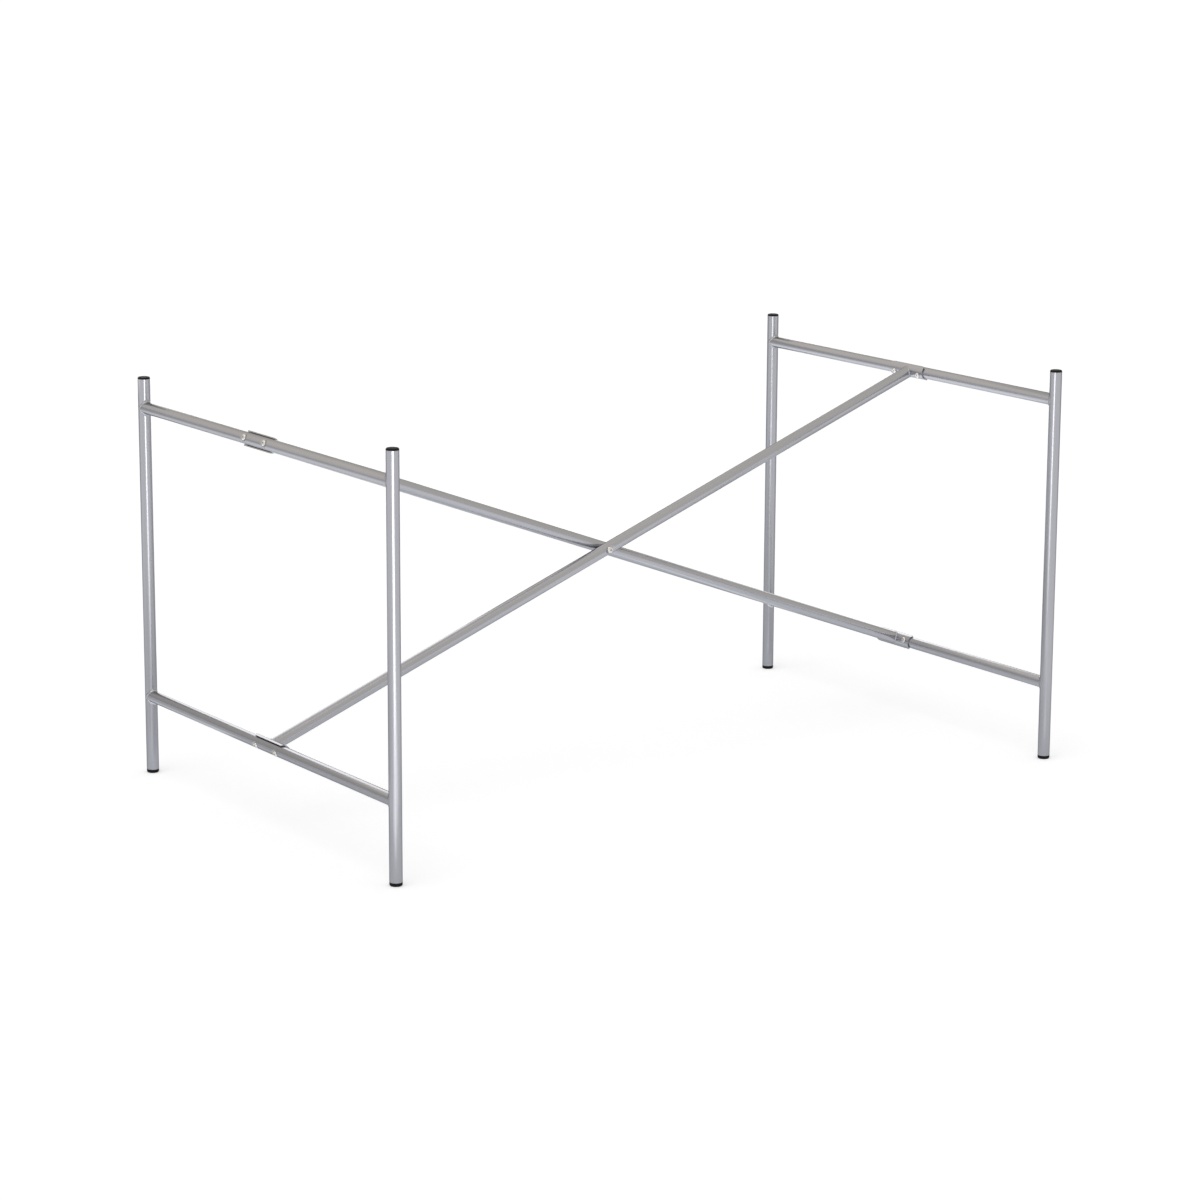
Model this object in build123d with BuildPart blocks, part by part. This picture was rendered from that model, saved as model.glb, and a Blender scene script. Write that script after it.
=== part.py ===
from build123d import *
from math import atan2, cos, hypot, sin, sqrt
import os

# A table frame of round steel tube, in millimetres. Two welded side frames, each of two legs and
# two rails, are held apart by two crossed braces, whose half-shell saddles are screwed to the rails.
# The origin is on the floor under the middle of the frame: X along the table, Y to the rear, Z up.

# Frame, measured between tube axes
leg_spacing_length = 1280.0
leg_spacing_depth = 760.0
frame_height = 660.0
upper_rail_height = 610.0
lower_rail_height = 130.0

# Tube and welds
tube_diameter = 20.0
tube_wall = 2.0
rail_inset = 0.2  # a rail is this much smaller in radius than a leg, so its coped end stays on the leg
rail_weld_radius = 4.0
brace_weld_radius = 2.0

# Plastic plugs in the leg ends
cap_height = 3.2
cap_edge_radius = 2.2
foot_height = 6.0
foot_edge_radius = 2.5
plug_depth = 18.0
plug_core_diameter = 12.0
plug_rib_count = 3
plug_rib_height = 2.0
plug_clearance = 0.1

# Saddles at the ends of the braces, a little wider inside than the rail
saddle_length = 86.0
saddle_wall = 1.8
saddle_clearance = 0.1
saddle_rim_gap = 1.0
saddle_rim_setback = 1.0
saddle_corner_radius = 6.0

# Screws and sleeve nuts that hold the saddles
screw_spacing = 61.0
screw_diameter = 5.0
screw_head_diameter = 9.5
screw_head_height = 3.0
screw_socket_flats = 3.0
screw_sleeve_length = 11.0

# Bolt and sleeve nut at the crossing of the braces
brace_gap = 0.2
bolt_diameter = 6.0
bolt_head_diameter = 11.0
bolt_head_height = 3.8
bolt_socket_flats = 4.0
bolt_sleeve_length = 14.0

# What every screw, bolt and sleeve nut shares
sleeve_wall = 1.0
thread_overlap = 6.0
thread_end_room = 1.0
thread_clearance = 0.05
tip_chamfer = 0.6
hole_clearance = 0.2
seat_clearance = 0.2
dimple_depth = 1.9
dimple_flare = 3.2
dimple_rim_radius = 2.5
socket_depth_share = 0.6
head_edge_share = 0.7

# Worked out from the sizes above
leg_radius = tube_diameter / 2
rail_radius = leg_radius - rail_inset
brace_radius = leg_radius
half_length = leg_spacing_length / 2
half_depth = leg_spacing_depth / 2
saddle_inner_radius = rail_radius + saddle_rim_gap
saddle_outer_radius = saddle_inner_radius + saddle_wall
saddle_shift = saddle_rim_gap - saddle_clearance  # its axis lies this far outside the rail's axis
brace_offset = brace_radius + brace_gap / 2
brace_rise = upper_rail_height - lower_rail_height
brace_slope = atan2(brace_rise, leg_spacing_length)
crossing_height = (upper_rail_height + lower_rail_height) / 2
screw_seat_radius = screw_head_diameter / 2 + seat_clearance
bolt_seat_radius = bolt_head_diameter / 2 + seat_clearance
along_rail = (0, 1, 0)
on_plane = (Align.CENTER, Align.CENTER, Align.MIN)

leg_places = {
    "front_left": (-half_length, -half_depth),
    "rear_left": (-half_length, half_depth),
    "front_right": (half_length, -half_depth),
    "rear_right": (half_length, half_depth),
}

# Each saddle: the rail it hugs, its brace's place across the frame, and the way into the frame
# along that brace. The front brace rises to the right and the rear brace falls to the right.
saddle_places = {
    "upper_left": (-half_length, brace_offset, upper_rail_height, (cos(brace_slope), 0, -sin(brace_slope))),
    "lower_left": (-half_length, -brace_offset, lower_rail_height, (cos(brace_slope), 0, sin(brace_slope))),
    "upper_right": (half_length, -brace_offset, upper_rail_height, (-cos(brace_slope), 0, -sin(brace_slope))),
    "lower_right": (half_length, brace_offset, lower_rail_height, (-cos(brace_slope), 0, sin(brace_slope))),
}


def flat_on_tube(tube_radius, seat_radius):
    """Height above the axis at which a round flat of this radius just fits in the tube's surface."""
    return sqrt(tube_radius**2 - seat_radius**2)


screw_seat = flat_on_tube(saddle_outer_radius, screw_seat_radius) - saddle_shift
nut_seat = rail_radius - dimple_depth


def screw_planes(name):
    """Planes on the rail's axis at a saddle's two screws, looking into the frame along the brace."""
    x, y, z, inward = saddle_places[name]
    shifts = (-screw_spacing / 2, screw_spacing / 2)
    return [Plane(origin=(x, y + shift, z), x_dir=along_rail, z_dir=inward) for shift in shifts]


def saddle_plane(name):
    """The cross-section of a saddle at the middle of its length, looking along the rail."""
    x, y, z, inward = saddle_places[name]
    rail_section = Plane(origin=(x, y, z), x_dir=inward, z_dir=along_rail)
    return rail_section.shift_origin(rail_section.from_local_coords((-saddle_shift, 0, 0)))


def flipped(plane):
    """The same plane looking the other way."""
    return Plane(origin=plane.origin, x_dir=plane.x_dir, z_dir=-plane.z_dir)


def sleeve_hole(diameter):
    """Diameter of the hole that passes the sleeve of a nut for this screw."""
    return diameter + 2 * (sleeve_wall + hole_clearance)


def screw_hole(diameter):
    """Diameter of the hole that passes this screw."""
    return diameter + 2 * hole_clearance


def drill(plane, diameter, depth):
    """In the open part: a hole from the plane along its normal."""
    with Locations(plane.location):
        Cylinder(diameter / 2, depth, align=on_plane, mode=Mode.SUBTRACT)


def dimple(plane, surface_radius, seat_radius):
    """In the open part: a dish pressed into a round surface, with a flat floor for a fastener's head."""
    with Locations(plane.offset(surface_radius - dimple_depth).location):
        Cone(seat_radius, seat_radius + dimple_flare, dimple_depth, align=on_plane, mode=Mode.SUBTRACT)


def round_dimple(piece, plane, surface_radius, seat_radius):
    """A dimple in the open piece with the rounded rim of pressed sheet."""
    dimple(plane, surface_radius, seat_radius)
    fillet(piece.edges(Select.LAST).filter_by(GeomType.BSPLINE), dimple_rim_radius)


def tube_bore(axis_plane, half_run, radius, seats, seat_radius):
    """The hollow of a tube, which gives way where the wall is pressed in."""
    with BuildPart() as bore:
        with BuildSketch(axis_plane):
            Circle(radius)
        extrude(amount=half_run, both=True)
        for seat in seats:
            dimple(seat, radius, seat_radius)
    return bore.part


def plug(name, x, y, tube_end, up, head_height, edge_radius):
    """A ribbed plastic plug: a round head on the tube's end and a stem inside it."""
    rib_radius = leg_radius - tube_wall - plug_clearance
    rib_pitch = plug_depth / plug_rib_count
    with BuildPart() as piece:
        outside = Plane(origin=(x, y, tube_end), x_dir=(1, 0, 0), z_dir=(0, 0, up))
        inside = flipped(outside)
        with BuildSketch(outside):
            Circle(leg_radius)
        extrude(amount=head_height)
        fillet(piece.faces().sort_by(Axis.Z)[0 if up < 0 else -1].edges(), edge_radius)
        with BuildSketch(inside):
            Circle(plug_core_diameter / 2)
        extrude(amount=plug_depth)
        for rib in range(plug_rib_count):
            with BuildSketch(inside.offset(rib * rib_pitch + rib_pitch / 2)):
                Circle(rib_radius)
            extrude(amount=plug_rib_height)
    piece.part.label = name
    export_step(piece.part, f"parts/{name}.step")


def rail(name, saddle_place):
    """A coped tube between a front and a rear leg, with its weld and the seats for two sleeve nuts."""
    x, _, height, _ = saddle_places[saddle_place]
    axis_plane = Plane(origin=(x, 0, height), x_dir=(1, 0, 0), z_dir=along_rail)
    joints = [(x, -half_depth, height), (x, half_depth, height)]
    stub_height = 2 * (rail_radius + 2 * rail_weld_radius)  # a piece of leg that reaches past the weld
    seats = [flipped(plane) for plane in screw_planes(saddle_place)]
    bore = tube_bore(axis_plane, half_depth, rail_radius - tube_wall, seats, screw_seat_radius)
    with BuildPart() as piece:
        with BuildSketch(axis_plane):
            Circle(rail_radius)
        extrude(amount=half_depth, both=True)
        with Locations(*joints):
            Cylinder(leg_radius, stub_height)
        fillet(piece.edges().filter_by(GeomType.BSPLINE), rail_weld_radius)
        with Locations(*joints):
            Cylinder(leg_radius, 2 * stub_height, mode=Mode.SUBTRACT)
        add(bore, mode=Mode.SUBTRACT)
        for seat in seats:
            round_dimple(piece, seat, rail_radius, screw_seat_radius)
            drill(seat, sleeve_hole(screw_diameter), rail_radius)
            drill(flipped(seat), screw_hole(screw_diameter), rail_radius)
    piece.part.label = name
    export_step(piece.part, f"parts/{name}.step")


def brace(name, start, end, seat_side, seat_hole):
    """A straight tube coped to two saddles, with its weld and a pressed seat at the crossing."""
    _, y, _, direction = saddle_places[start]
    middle = Plane(origin=(0, y, crossing_height), x_dir=along_rail, z_dir=direction)
    half_run = hypot(leg_spacing_length, brace_rise) / 2
    joints = [saddle_plane(start), saddle_plane(end)]
    seat = Plane(origin=middle.origin, x_dir=(1, 0, 0), z_dir=(0, seat_side, 0))
    bore = tube_bore(middle, half_run, brace_radius - tube_wall, [seat], bolt_seat_radius)
    with BuildPart() as piece:
        with BuildSketch(middle):
            Circle(brace_radius)
        extrude(amount=half_run, both=True)
        for joint in joints:
            with BuildSketch(joint):
                Circle(saddle_outer_radius)
            extrude(amount=saddle_length / 2, both=True)
        fillet(piece.edges().filter_by(GeomType.BSPLINE), brace_weld_radius)
        for joint in joints:
            with BuildSketch(joint):
                Circle(saddle_outer_radius)
            extrude(amount=saddle_length, both=True, mode=Mode.SUBTRACT)
        add(bore, mode=Mode.SUBTRACT)
        round_dimple(piece, seat, brace_radius, bolt_seat_radius)
        drill(seat, seat_hole, brace_radius)
        drill(flipped(seat), screw_hole(bolt_diameter), brace_radius)
    piece.part.label = name
    export_step(piece.part, f"parts/{name}.step")


def saddle(name, place):
    """A half-shell over the inner side of a rail, with flats and holes for its two screws."""
    section = saddle_plane(place)
    side = Plane(origin=section.origin, x_dir=along_rail, z_dir=section.y_dir)
    with BuildPart() as piece:
        with BuildSketch(section):
            Circle(saddle_outer_radius)
            Circle(saddle_inner_radius, mode=Mode.SUBTRACT)
        extrude(amount=saddle_length / 2, both=True)
        with BuildSketch(side.offset(-saddle_outer_radius)) as outline:
            with Locations((0, saddle_rim_setback)):
                Rectangle(saddle_length, saddle_outer_radius, align=(Align.CENTER, Align.MIN))
            fillet(outline.vertices().group_by(Axis.Y)[0], saddle_corner_radius)
        extrude(amount=2 * saddle_outer_radius, mode=Mode.INTERSECT)
        for plane in screw_planes(place):
            drill(plane.offset(screw_seat), 2 * screw_seat_radius, saddle_outer_radius)
            drill(plane, screw_hole(screw_diameter), saddle_outer_radius)
    piece.part.label = name
    export_step(piece.part, f"parts/{name}.step")


def round_head(diameter, height, socket_flats):
    """In the open fastener: a domed head on the XY plane with a hexagon socket."""
    head = Cylinder(diameter / 2, height, align=on_plane)
    fillet(head.faces().sort_by(Axis.Z)[-1].edges(), height * head_edge_share)
    with BuildSketch(Plane.XY.offset(height)) as socket:
        RegularPolygon(socket_flats / 2, 6, major_radius=False)
    extrude(socket.sketch, amount=-height * socket_depth_share, mode=Mode.SUBTRACT)


def screw(diameter, length, head_diameter, head_height, socket_flats):
    """A round-headed screw with its head standing on the XY plane and its shank below."""
    with BuildPart() as piece:
        round_head(head_diameter, head_height, socket_flats)
        with BuildSketch():
            Circle(diameter / 2)
        extrude(amount=-length)
        chamfer(piece.faces().sort_by(Axis.Z)[0].edges(), tip_chamfer)
    return piece.part


def sleeve_nut(diameter, length, head_diameter, head_height, socket_flats):
    """A round-headed sleeve with a blind bore for a screw, its head standing on the XY plane."""
    with BuildPart() as piece:
        round_head(head_diameter, head_height, socket_flats)
        with BuildSketch():
            Circle(diameter / 2 + sleeve_wall)
        extrude(amount=-length)
        drill(Plane.XY.offset(-length), diameter + 2 * thread_clearance, thread_overlap + thread_end_room)
    return piece.part


os.makedirs("parts", exist_ok=True)

# Legs with their caps and feet
for corner, (x, y) in leg_places.items():
    with BuildPart() as leg:
        with BuildSketch(Plane(origin=(x, y, foot_height))):
            Circle(leg_radius)
            Circle(leg_radius - tube_wall, mode=Mode.SUBTRACT)
        extrude(amount=frame_height - cap_height - foot_height)
    leg.part.label = f"leg_{corner}"
    export_step(leg.part, f"parts/leg_{corner}.step")
    plug(f"cap_{corner}", x, y, frame_height - cap_height, 1, cap_height, cap_edge_radius)
    plug(f"foot_{corner}", x, y, foot_height, -1, foot_height, foot_edge_radius)

# Rails and saddles
for place in saddle_places:
    level, side = place.split("_")
    rail(f"{level}_rail_{side}", place)
    saddle(f"saddle_{place}", place)

# Braces
brace("brace_front", "lower_left", "upper_right", -1, screw_hole(bolt_diameter))
brace("brace_rear", "upper_left", "lower_right", 1, sleeve_hole(bolt_diameter))

# Screws and sleeve nuts of the saddles, one of each at every screw plane
screw_stack = screw_seat + nut_seat
saddle_screw = screw(
    screw_diameter,
    screw_stack - screw_sleeve_length + thread_overlap,
    screw_head_diameter,
    screw_head_height,
    screw_socket_flats,
)
saddle_nut = sleeve_nut(
    screw_diameter, screw_sleeve_length, screw_head_diameter, screw_head_height, screw_socket_flats
)
every_screw_plane = [plane for place in saddle_places for plane in screw_planes(place)]
with BuildPart() as saddle_screws:
    with Locations(*[plane.offset(screw_seat).location for plane in every_screw_plane]):
        add(saddle_screw)
saddle_screws.part.label = "saddle_screws"
export_step(saddle_screws.part, "parts/saddle_screws.step")
with BuildPart() as saddle_nuts:
    with Locations(*[flipped(plane).offset(nut_seat).location for plane in every_screw_plane]):
        add(saddle_nut)
saddle_nuts.part.label = "saddle_nuts"
export_step(saddle_nuts.part, "parts/saddle_nuts.step")

# Bolt and sleeve nut of the crossing
bolt_seat = brace_offset + brace_radius - dimple_depth
crossing = Plane(origin=(0, 0, crossing_height), x_dir=(1, 0, 0), z_dir=(0, -1, 0))
bolt = screw(
    bolt_diameter,
    2 * bolt_seat - bolt_sleeve_length + thread_overlap,
    bolt_head_diameter,
    bolt_head_height,
    bolt_socket_flats,
)
bolt_nut = sleeve_nut(
    bolt_diameter, bolt_sleeve_length, bolt_head_diameter, bolt_head_height, bolt_socket_flats
)
with BuildPart() as crossing_bolt:
    with Locations(crossing.offset(bolt_seat).location):
        add(bolt)
crossing_bolt.part.label = "crossing_bolt"
export_step(crossing_bolt.part, "parts/crossing_bolt.step")
with BuildPart() as crossing_nut:
    with Locations(flipped(crossing).offset(bolt_seat).location):
        add(bolt_nut)
crossing_nut.part.label = "crossing_nut"
export_step(crossing_nut.part, "parts/crossing_nut.step")
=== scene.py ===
import math

import bpy
from mathutils import Matrix, Vector


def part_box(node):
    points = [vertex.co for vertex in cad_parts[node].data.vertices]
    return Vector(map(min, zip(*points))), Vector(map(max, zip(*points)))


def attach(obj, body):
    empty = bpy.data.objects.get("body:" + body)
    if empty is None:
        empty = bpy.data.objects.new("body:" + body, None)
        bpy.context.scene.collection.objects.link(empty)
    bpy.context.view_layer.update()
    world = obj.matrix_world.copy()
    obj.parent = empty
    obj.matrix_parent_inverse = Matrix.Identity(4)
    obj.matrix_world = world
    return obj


# A table frame of silver-painted steel tube on a white studio floor, in metres. The tubes, saddles, plugs
# and fasteners are the frame's own nodes with finishes made here, and the weld beads are added to them.

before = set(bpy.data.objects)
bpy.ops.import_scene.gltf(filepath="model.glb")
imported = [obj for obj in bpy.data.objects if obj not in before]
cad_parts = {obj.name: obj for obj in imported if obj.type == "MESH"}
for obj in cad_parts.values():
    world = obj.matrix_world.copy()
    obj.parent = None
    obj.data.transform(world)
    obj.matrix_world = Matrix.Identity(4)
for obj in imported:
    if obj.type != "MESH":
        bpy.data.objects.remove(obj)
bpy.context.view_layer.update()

# Camera, as the photograph was taken
photo_side = 1200
focal_pixels = 3613.0
camera_azimuth = math.radians(-35.04)
camera_elevation = math.radians(12.81)
camera_roll = math.radians(0.27)
camera_distance = 5.962
aim_sideways = -0.0051
aim_height = 0.2817
sensor_width = 36.0
farthest_seen = 200.0

# Tubes and their welded joints
leg_radius = 0.010
brace_radius = leg_radius
rail_radius = 0.0098
saddle_radius = 0.0126
saddle_shift = 0.0009
rail_weld_radius = 0.004
brace_weld_radius = 0.002
corners = ("front_left", "rear_left", "front_right", "rear_right")
rails = ("upper_rail_left", "lower_rail_left", "upper_rail_right", "lower_rail_right")
saddles = ("saddle_upper_left", "saddle_lower_left", "saddle_upper_right", "saddle_lower_right")

# Weld beads
seam_points = 72
bead_pitch = 0.0017
rail_bead_width = 0.0040
brace_bead_width = 0.0028
bead_height = 0.0007
bead_unevenness = 0.25
bead_seed = 7
ripple_subdivisions = 2

# Colours, in linear light
silver = (0.397, 0.402, 0.434)
zinc = (0.64, 0.63, 0.61)
plastic_black = (0.014, 0.014, 0.015)
floor_white = (0.84, 0.885, 0.975)
floor_glow = (1.0, 0.97, 0.92)
studio_light = (1.0, 0.955, 0.875)
panel_light = (1.0, 0.935, 0.82)
card_white = (1.0, 1.0, 1.0)

# Silver paint: a drift of tone, flake and orange peel
silver_tones = (0.93, 1.07)
silver_metallic = 0.95
silver_roughness = 0.19
silver_edge_tint = 0.45
drift_size = 0.16
drift_tone = 0.6
drift_roughness = 0.05
flake_size = 0.0004
flake_tone = 0.4
flake_roughness = 0.04
peel_size = 0.0022
peel_detail = 1.0
peel_depth = 0.00006
peel_strength = 0.2

# Zinc plate: blotches and fine grain
zinc_tones = (0.88, 1.1)
zinc_roughness = 0.16
blotch_size = 0.004
blotch_roughness = 0.1
zinc_grain_size = 0.0003
zinc_grain_detail = 3.0
zinc_grain_depth = 0.00002
zinc_grain_strength = 0.3

# Moulded plastic: faint clouds and fine grain
plastic_tones = (0.8, 1.3)
plastic_roughness = 0.52
plastic_specular = 0.08
cloud_size = 0.006
cloud_roughness = 0.10
plastic_grain_size = 0.0004
plastic_grain_depth = 0.00003
plastic_grain_strength = 0.3

# Floor, with a glow that makes it white to the eye and one that shows in metal further out
floor_half = 60.0
seen_glow = 0.36
metal_glow = 0.42
glow_shift = (0.06, -0.35, 0.0)
glow_stretch = (0.6, 1.0, 1.0)
glow_start = 0.5
rear_way = (0.57, 0.82, 0.0)
rear_fade_slope = 0.8
rear_fade_offset = 0.2

# Light from all round: its strength on the floor and frame, to the eye and in metal
room_strength = 0.66
seen_strength = 1.08
metal_strength = 0.88
rear_dimming = 0.42
rear_height_gain = 0.4

# Soft lamp high on the left
sky_place = (-2.0, -1.0, 4.0)
sky_target = (0, 0, 0)
sky_energy = 0.5
sky_angle = math.radians(50)

# Cards on the camera's side: how far out they are, and their width and height or depth
front_leftward = 0.16
softbox_out = 1.9
softbox_up = 0.30
softbox = {"size": (0.66, 0.56), "radiance": 2.9}
far_apron_out = 1.68
far_apron = {"size": (0.78, 0.44), "radiance": 1.3}
near_apron_out = 1.20
near_apron = {"size": (0.78, 0.52), "radiance": 0.6}
strip_out = 0.6
strip = {"size": (0.10, 0.9), "radiance": 0.4}
middle_ground = {"place": Vector((0, -0.4, 0)), "size": (2.0, 1.6), "radiance": 0.3}

# Cards behind the frame
rear_facing = (-0.337, -0.9, -0.28)
rear_spread = math.radians(100)
left_rear_card = {"place": (-0.30, 0.6, 0.40), "size": (0.48, 0.64), "radiance": 0.75}
right_rear_card = {"place": (1.09, 0.6, 0.40), "size": (0.52, 0.64), "radiance": 0.95}
left_panel = {"place": (-0.95, 0.46, 0.93), "size": (1.5, 0.62), "radiance": 0.42}
right_panel = {"place": (0.50, 0.44, 0.95), "size": (1.4, 0.58), "radiance": 0.34}
rear_ground = {"place": Vector((-0.1, 1.6, 0)), "size": (5.4, 2.6), "radiance": 1.0}

# How cards lie on the floor and face the front
frontward = Vector((0, -1, 0))
ground_spread = math.radians(150)
card_lift = 0.004
card_tilt = 0.001

# Sockets of a Mix node for colours, by number because their names repeat
mix_first = 6
mix_second = 7
mix_result = 2


class Value:
    """A number that changes over a surface: an output socket, with operators that add Math nodes."""

    def __init__(self, tree, socket):
        self.tree = tree
        self.socket = socket

    def math(self, operation, *others, swap=False):
        node = self.tree.nodes.new("ShaderNodeMath")
        node.operation = operation
        terms = [self, *others]
        if swap:
            terms.reverse()
        for place, term in zip(node.inputs, terms):
            if isinstance(term, Value):
                self.tree.links.new(term.socket, place)
            else:
                place.default_value = term
        return Value(self.tree, node.outputs[0])

    def __add__(self, other):
        return self.math("ADD", other)

    def __radd__(self, other):
        return self.math("ADD", other)

    def __sub__(self, other):
        return self.math("SUBTRACT", other)

    def __rsub__(self, other):
        return self.math("SUBTRACT", other, swap=True)

    def __mul__(self, other):
        return self.math("MULTIPLY", other)

    def __rmul__(self, other):
        return self.math("MULTIPLY", other)

    def at_most(self, other):
        return self.math("MINIMUM", other)

    def at_least(self, other):
        return self.math("MAXIMUM", other)

    def between(self, least, most):
        return self.at_least(least).at_most(most)


class Finish:
    """A node tree of a material or the world, built node by node."""

    def __init__(self, owner):
        owner.use_nodes = True
        self.owner = owner
        self.tree = owner.node_tree
        self.tree.nodes.clear()

    def node(self, kind, settings=None, inputs=None, output=0):
        """Adds a node: its settings first, then the values or links of its sockets."""
        node = self.tree.nodes.new(kind)
        for name, value in (settings or {}).items():
            setattr(node, name, value)
        for name, value in (inputs or {}).items():
            if isinstance(value, Value):
                self.tree.links.new(value.socket, node.inputs[name])
            else:
                node.inputs[name].default_value = value
        return Value(self.tree, node.outputs[output]) if node.outputs else node

    def place(self):
        """Coordinates of the piece itself, in metres."""
        return self.node("ShaderNodeTexCoord", output="Object")

    def noise(self, place, size, detail=2.0):
        """Cloudy variation from 0 to 1 with features of about this size in metres."""
        inputs = {"Vector": place, "Scale": 1.0 / size, "Detail": detail}
        return self.node("ShaderNodeTexNoise", inputs=inputs, output="Fac")

    def mottled(self, share, colour, tones):
        """The colour, which goes from its darker to its lighter tone with the share."""
        darker, lighter = ([channel * tone for channel in colour] for tone in tones)
        inputs = {"Factor": share, mix_first: (*darker, 1.0), mix_second: (*lighter, 1.0)}
        return self.node("ShaderNodeMix", {"data_type": "RGBA"}, inputs, output=mix_result)

    def bump(self, height, depth, strength):
        """A normal that follows this height over a depth in metres."""
        inputs = {"Height": height, "Distance": depth, "Strength": strength}
        return self.node("ShaderNodeBump", inputs=inputs, output="Normal")

    def surface(self, shader):
        """Ends the tree in this shader."""
        of_world = isinstance(self.owner, bpy.types.World)
        kind = "ShaderNodeOutputWorld" if of_world else "ShaderNodeOutputMaterial"
        self.node(kind, inputs={"Surface": shader})
        return self.owner


def silver_paint():
    """Metallic silver powder coat: fine flake, faint orange peel and slow drifts of tone."""
    finish = Finish(bpy.data.materials.new("silver_paint"))
    place = finish.place()
    drift = finish.noise(place, drift_size)
    cell = finish.node("ShaderNodeVectorMath", {"operation": "SNAP"}, {0: place, 1: (flake_size,) * 3})
    flake = finish.node("ShaderNodeTexWhiteNoise", inputs={"Vector": cell})
    peel = finish.noise(place, peel_size, peel_detail)
    tone = drift * drift_tone + flake * flake_tone
    shader = finish.node("ShaderNodeBsdfPrincipled", inputs={
        "Base Color": finish.mottled(tone, silver, silver_tones),
        "Metallic": silver_metallic,
        "Roughness": silver_roughness + drift * drift_roughness + flake * flake_roughness,
        "Specular Tint": (silver_edge_tint, silver_edge_tint, silver_edge_tint, 1.0),
        "Normal": finish.bump(peel, peel_depth, peel_strength),
    })
    return finish.surface(shader)


def zinc_plate():
    """Bright zinc on turned steel, with faint blotches of its passive film."""
    finish = Finish(bpy.data.materials.new("zinc_plate"))
    place = finish.place()
    blotch = finish.noise(place, blotch_size)
    grain = finish.noise(place, zinc_grain_size, zinc_grain_detail)
    shader = finish.node("ShaderNodeBsdfPrincipled", inputs={
        "Base Color": finish.mottled(blotch, zinc, zinc_tones),
        "Metallic": 1.0,
        "Roughness": zinc_roughness + blotch * blotch_roughness,
        "Normal": finish.bump(grain, zinc_grain_depth, zinc_grain_strength),
    })
    return finish.surface(shader)


def moulded_plastic():
    """Black moulded plastic with a fine spark-eroded grain."""
    finish = Finish(bpy.data.materials.new("moulded_plastic"))
    place = finish.place()
    cloud = finish.noise(place, cloud_size)
    grain = finish.noise(place, plastic_grain_size)
    shader = finish.node("ShaderNodeBsdfPrincipled", inputs={
        "Base Color": finish.mottled(cloud, plastic_black, plastic_tones),
        "Roughness": plastic_roughness + cloud * cloud_roughness,
        "Specular IOR Level": plastic_specular,
        "Normal": finish.bump(grain, plastic_grain_depth, plastic_grain_strength),
    })
    return finish.surface(shader)


def middle_of(node):
    """The middle of a node's box."""
    low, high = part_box(node)
    return (low + high) / 2


def seam(centre, axis, radius, cross_axis, cross_radius, weld_radius):
    """Points round a tube where it meets a crossing round surface, each with the way out of its weld."""
    side = axis.cross(cross_axis)
    points = []
    for step in range(seam_points):
        angle = 2 * math.pi * step / seam_points
        across = radius * math.sin(angle)
        reach = math.sqrt(cross_radius**2 - across**2)
        tube_normal = cross_axis * math.cos(angle) + side * math.sin(angle)
        cross_normal = (axis * reach + side * across) / cross_radius
        out = (tube_normal + cross_normal).normalized()
        half_turn = math.acos(max(-1.0, min(1.0, tube_normal.dot(cross_normal)))) / 2
        fill = weld_radius * (1 / math.cos(half_turn) - 1)
        points.append((centre + axis * reach + tube_normal * radius + out * fill, out))
    return points


def rail_seams():
    """Seams of the four rails, one at each of their two legs."""
    loops = []
    upright = Vector((0, 0, 1))
    for rail in rails:
        height = middle_of(rail).z
        side = rail.split("_")[-1]
        for end, towards_middle in (("front", 1), ("rear", -1)):
            leg = middle_of(f"leg_{end}_{side}")
            centre = Vector((leg.x, leg.y, height))
            axis = Vector((0, towards_middle, 0))
            loops.append(seam(centre, axis, rail_radius, upright, leg_radius, rail_weld_radius))
    return loops


def brace_seams():
    """Seams of the two braces, one at each of their saddles."""
    loops = []
    along_rail = Vector((0, 1, 0))
    rise = middle_of("upper_rail_left").z - middle_of("lower_rail_left").z
    for saddle in saddles:
        level, side = saddle.split("_")[1:]
        other_side = "right" if side == "left" else "left"
        leg = middle_of(f"leg_front_{side}")
        run = middle_of(f"leg_front_{other_side}").x - leg.x
        axis = Vector((run, 0, -rise if level == "upper" else rise)).normalized()
        height = middle_of(f"{level}_rail_{side}").z
        centre = Vector((leg.x, middle_of(saddle).y, height)) - axis * saddle_shift
        loops.append(seam(centre, axis, brace_radius, along_rail, saddle_radius, brace_weld_radius))
    return loops


def seam_object(name, loops):
    """A mesh of closed seam lines that carries the way out of the weld at each point."""
    vertices = []
    edges = []
    ways_out = []
    for loop in loops:
        first = len(vertices)
        for index, (point, out) in enumerate(loop):
            vertices.append(point)
            ways_out.extend(out)
            edges.append((first + index, first + (index + 1) % len(loop)))
    mesh = bpy.data.meshes.new(name)
    mesh.from_pydata(vertices, edges, [])
    attribute = mesh.attributes.new("way_out", "FLOAT_VECTOR", "POINT")
    attribute.data.foreach_set("vector", ways_out)
    piece = bpy.data.objects.new(name, mesh)
    bpy.context.scene.collection.objects.link(piece)
    return piece


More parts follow.
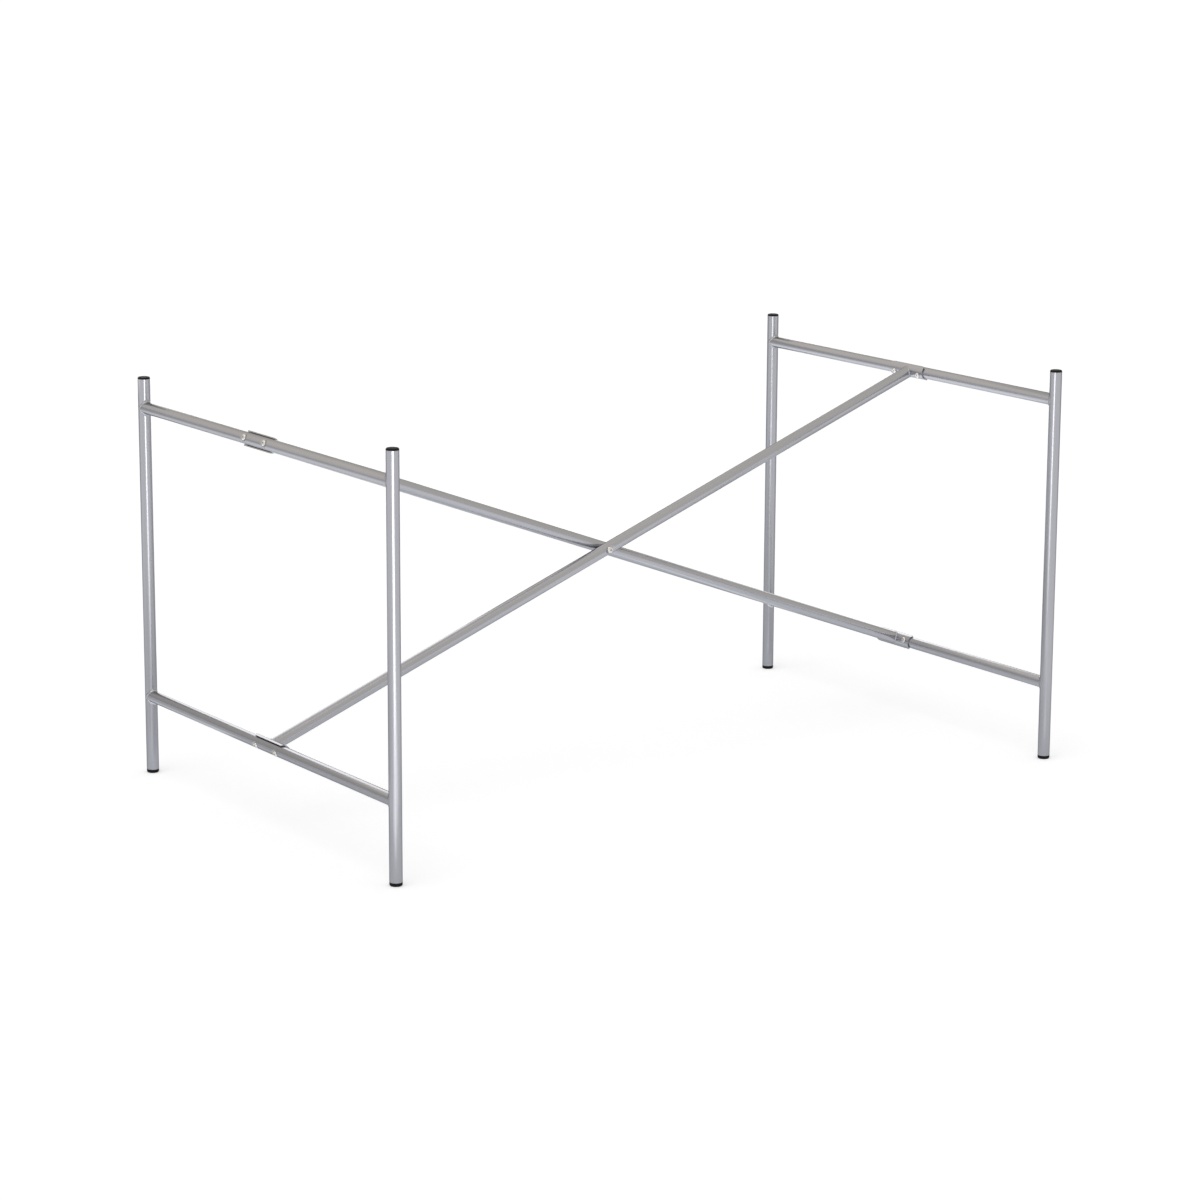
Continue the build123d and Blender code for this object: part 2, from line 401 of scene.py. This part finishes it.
def bead_tree():
    """Nodes that lay overlapping ripples of weld along seam lines."""
    tree = bpy.data.node_groups.new("weld_bead", "GeometryNodeTree")
    inputs = {
        "Seams": "NodeSocketGeometry",
        "Pitch": "NodeSocketFloat",
        "Width": "NodeSocketFloat",
        "Height": "NodeSocketFloat",
        "Unevenness": "NodeSocketFloat",
        "Seed": "NodeSocketInt",
        "Paint": "NodeSocketMaterial",
    }
    for name, kind in inputs.items():
        tree.interface.new_socket(name, in_out="INPUT", socket_type=kind)
    tree.interface.new_socket("Bead", in_out="OUTPUT", socket_type="NodeSocketGeometry")

    def add(kind, settings=None, inputs=None):
        node = tree.nodes.new(kind)
        for name, value in (settings or {}).items():
            setattr(node, name, value)
        for name, value in (inputs or {}).items():
            if isinstance(value, bpy.types.NodeSocket):
                tree.links.new(value, node.inputs[name])
            else:
                node.inputs[name].default_value = value
        return node

    given = add("NodeGroupInput").outputs
    line = add("GeometryNodeMeshToCurve", inputs={"Mesh": given["Seams"]})
    evened = add("GeometryNodeResampleCurve", {"mode": "LENGTH"}, {
        "Curve": line.outputs["Curve"],
        "Length": given["Pitch"],
    })
    way_out = add("GeometryNodeInputNamedAttribute", {"data_type": "FLOAT_VECTOR"}, {"Name": "way_out"})
    tangent = add("GeometryNodeInputTangent")
    upright = add("FunctionNodeAlignRotationToVector", {"axis": "Z"}, {
        "Vector": way_out.outputs["Attribute"],
    })
    turned = add("FunctionNodeAlignRotationToVector", {"axis": "X", "pivot_axis": "Z"}, {
        "Rotation": upright.outputs["Rotation"],
        "Vector": tangent.outputs["Tangent"],
    })
    least = add("ShaderNodeMath", {"operation": "SUBTRACT"}, {0: 1.0, 1: given["Unevenness"]})
    most = add("ShaderNodeMath", {"operation": "ADD"}, {0: 1.0, 1: given["Unevenness"]})
    spread = add("FunctionNodeRandomValue", {"data_type": "FLOAT_VECTOR"}, {
        0: least.outputs[0],
        1: most.outputs[0],
        "Seed": given["Seed"],
    })
    half_width = add("ShaderNodeMath", {"operation": "MULTIPLY"}, {0: given["Width"], 1: 0.5})
    size = add("ShaderNodeCombineXYZ", inputs={
        "X": given["Pitch"],
        "Y": half_width.outputs[0],
        "Z": given["Height"],
    })
    scale = add("ShaderNodeVectorMath", {"operation": "MULTIPLY"}, {
        0: size.outputs[0],
        1: spread.outputs["Value"],
    })
    ripple = add("GeometryNodeMeshIcoSphere", inputs={"Radius": 1.0, "Subdivisions": ripple_subdivisions})
    laid = add("GeometryNodeInstanceOnPoints", inputs={
        "Points": evened.outputs["Curve"],
        "Instance": ripple.outputs["Mesh"],
        "Rotation": turned.outputs["Rotation"],
        "Scale": scale.outputs["Vector"],
    })
    whole = add("GeometryNodeRealizeInstances", inputs={"Geometry": laid.outputs["Instances"]})
    smooth = add("GeometryNodeSetShadeSmooth", inputs={"Geometry": whole.outputs["Geometry"]})
    painted = add("GeometryNodeSetMaterial", inputs={
        "Geometry": smooth.outputs["Geometry"],
        "Material": given["Paint"],
    })
    add("NodeGroupOutput", inputs={"Bead": painted.outputs["Geometry"]})
    return tree


def weld_beads(name, loops, width, tree, paint):
    """The painted weld beads along these seams, as one plain mesh that rides on the frame."""
    guide = seam_object(name + "_seams", loops)
    modifier = guide.modifiers.new("bead", "NODES")
    modifier.node_group = tree
    values = {
        "Pitch": bead_pitch,
        "Width": width,
        "Height": bead_height,
        "Unevenness": bead_unevenness,
        "Seed": bead_seed,
        "Paint": paint,
    }
    for item in tree.interface.items_tree:
        if item.in_out == "INPUT" and item.name in values:
            modifier[item.identifier] = values[item.name]
    evaluated = guide.evaluated_get(bpy.context.evaluated_depsgraph_get())
    mesh = bpy.data.meshes.new_from_object(evaluated)
    guide.modifiers.remove(modifier)
    bpy.data.objects.remove(guide)
    mesh.name = name
    beads = bpy.data.objects.new(name, mesh)
    bpy.context.scene.collection.objects.link(beads)
    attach(beads, "root")


def finish_nodes(finishes):
    """Gives each node of the frame the finish of its material slot."""
    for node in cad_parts.values():
        for slot in node.material_slots:
            slot.material = finishes[slot.material.name]


def seen_by(finish):
    """Shares of the rays that see the stage itself and of those that see it in a glossy surface."""
    camera = finish.node("ShaderNodeLightPath", output="Is Camera Ray")
    through = finish.node("ShaderNodeLightPath", output="Is Transmission Ray")
    glossy = finish.node("ShaderNodeLightPath", output="Is Glossy Ray")
    return camera.at_least(through), glossy


def add_floor():
    """A wide white floor with a soft shadow. In metal it is brighter further out, but not at the rear."""
    finish = Finish(bpy.data.materials.new("studio_floor"))
    seen, glossy = seen_by(finish)
    place = finish.place()
    spot = finish.node("ShaderNodeMapping", inputs={
        "Vector": place,
        "Location": glow_shift,
        "Scale": glow_stretch,
    })
    distance = finish.node("ShaderNodeVectorMath", {"operation": "LENGTH"}, {0: spot}, output="Value")
    rearward = finish.node(
        "ShaderNodeVectorMath",
        {"operation": "DOT_PRODUCT"},
        {0: place, 1: rear_way},
        output="Value",
    )
    outward = (distance - glow_start).between(0.0, 1.0)
    far_side = (rearward * rear_fade_slope - rear_fade_offset).between(0.0, 1.0)
    glow = seen * seen_glow + glossy * outward * (1.0 - far_side) * metal_glow
    lit = finish.node("ShaderNodeBsdfDiffuse", inputs={"Color": (*floor_white, 1.0)})
    glowing = finish.node("ShaderNodeEmission", inputs={"Color": (*floor_glow, 1.0), "Strength": glow})
    paper = finish.surface(finish.node("ShaderNodeAddShader", inputs={0: lit, 1: glowing}))
    mesh = bpy.data.meshes.new("floor")
    outline = [
        (-floor_half, -floor_half, 0),
        (floor_half, -floor_half, 0),
        (floor_half, floor_half, 0),
        (-floor_half, floor_half, 0),
    ]
    mesh.from_pydata(outline, [], [(0, 1, 2, 3)])
    mesh.materials.append(paper)
    floor = bpy.data.objects.new("floor", mesh)
    bpy.context.scene.collection.objects.link(floor)


def add_world():
    """Soft light from all round. It shows white, and in metal it is dimmer low at the rear."""
    world = bpy.data.worlds.new("studio")
    bpy.context.scene.world = world
    finish = Finish(world)
    seen, glossy = seen_by(finish)
    way = finish.node("ShaderNodeTexCoord", output="Generated")
    height = finish.node("ShaderNodeSeparateXYZ", inputs={0: way}, output="Z")
    rear = finish.node("ShaderNodeSeparateXYZ", inputs={0: way}, output="Y").between(0.0, 1.0)
    in_metal = metal_strength + rear * (height * rear_height_gain - rear_dimming)
    extra_seen = seen * (seen_strength - room_strength)
    extra_in_metal = glossy * (in_metal - room_strength)
    finish.surface(finish.node("ShaderNodeBackground", inputs={
        "Color": (*studio_light, 1.0),
        "Strength": room_strength + extra_seen + extra_in_metal,
    }))


def add_lamp(name, kind, place, target, **settings):
    """A lamp that looks at a target and isn't seen itself."""
    data = bpy.data.lights.new(name, kind)
    for setting, value in settings.items():
        setattr(data, setting, value)
    lamp = bpy.data.objects.new(name, data)
    bpy.context.scene.collection.objects.link(lamp)
    lamp.location = place
    lamp.rotation_mode = "QUATERNION"
    lamp.rotation_quaternion = (Vector(target) - Vector(place)).to_track_quat("-Z", "Y")
    lamp.visible_camera = False
    return lamp


def add_card(name, place, facing, size, radiance, spread=math.pi, colour=card_white):
    """A reflector of this brightness that only shows in glossy surfaces."""
    width, height = size
    card = add_lamp(
        name,
        "AREA",
        place,
        Vector(place) + Vector(facing),
        shape="RECTANGLE",
        size=width,
        size_y=height,
        spread=spread,
        energy=radiance * math.pi * width * height,
        color=colour,
    )
    card.visible_diffuse = False


def add_floor_card(name, place, towards, size, radiance, spread=math.pi):
    """A card that lies on the floor, tilted by a hair so that its depth runs along the given way."""
    lifted = place + Vector((0, 0, card_lift))
    facing = Vector((0, 0, 1)) - towards * card_tilt
    add_card(name, lifted, facing, size, radiance, spread)


def camera_axes():
    """The photograph's sideways, upward and backward directions, before its slight roll."""
    right = Vector((math.cos(camera_azimuth), math.sin(camera_azimuth), 0))
    level = Vector((math.sin(camera_azimuth), -math.cos(camera_azimuth), 0))
    back = level * math.cos(camera_elevation) + Vector((0, 0, math.sin(camera_elevation)))
    return right, back.cross(right), back


def add_front_cards():
    """A softbox and pale ground on the photograph's side, which show as bright lines on the legs."""
    right, _, back = camera_axes()
    out = Vector((back.x, back.y, 0)).normalized()
    leftward = right * front_leftward
    raised = Vector((0, 0, softbox_up))
    add_card("softbox", out * softbox_out - leftward + raised, -out, **softbox)
    add_floor_card("far_apron", out * far_apron_out - leftward, out, **far_apron)
    add_floor_card("near_apron", out * near_apron_out - leftward, out, **near_apron)
    for corner in corners:
        leg = middle_of("leg_" + corner)
        spot = Vector((leg.x, leg.y, 0)) + out * strip_out
        add_floor_card("strip_" + corner, spot, out, **strip)
    add_floor_card("middle_ground", towards=frontward, spread=ground_spread, **middle_ground)


def add_rear_cards():
    """Cards, panels and pale ground behind the frame, which show along its rails and braces."""
    add_card("left_rear_card", facing=rear_facing, spread=rear_spread, **left_rear_card)
    add_card("right_rear_card", facing=rear_facing, spread=rear_spread, **right_rear_card)
    add_card("left_panel", facing=frontward, colour=panel_light, **left_panel)
    add_card("right_panel", facing=frontward, colour=panel_light, **right_panel)
    add_floor_card("rear_ground", towards=frontward, spread=ground_spread, **rear_ground)


def add_camera():
    """The camera at the photograph's place, roll and focal length."""
    right, up, back = camera_axes()
    turned_right = right * math.cos(camera_roll) + up * math.sin(camera_roll)
    turned_up = up * math.cos(camera_roll) - right * math.sin(camera_roll)
    aim = right * aim_sideways + Vector((0, 0, aim_height))
    data = bpy.data.cameras.new("camera")
    data.sensor_width = sensor_width
    data.lens = focal_pixels / photo_side * sensor_width
    data.clip_end = farthest_seen
    camera = bpy.data.objects.new("camera", data)
    bpy.context.scene.collection.objects.link(camera)
    turn = Matrix((turned_right, turned_up, back)).transposed()
    camera.matrix_world = Matrix.Translation(aim + back * camera_distance) @ turn.to_4x4()
    bpy.context.scene.camera = camera


bpy.context.scene.view_settings.view_transform = "Standard"

paint = silver_paint()
finish_nodes({"tube_paint": paint, "zinc_steel": zinc_plate(), "black_plastic": moulded_plastic()})

bead_nodes = bead_tree()
weld_beads("rail_welds", rail_seams(), rail_bead_width, bead_nodes, paint)
weld_beads("brace_welds", brace_seams(), brace_bead_width, bead_nodes, paint)

add_floor()
add_world()
add_lamp("sky", "SUN", sky_place, sky_target, energy=sky_energy, angle=sky_angle)
add_front_cards()
add_rear_cards()
add_camera()
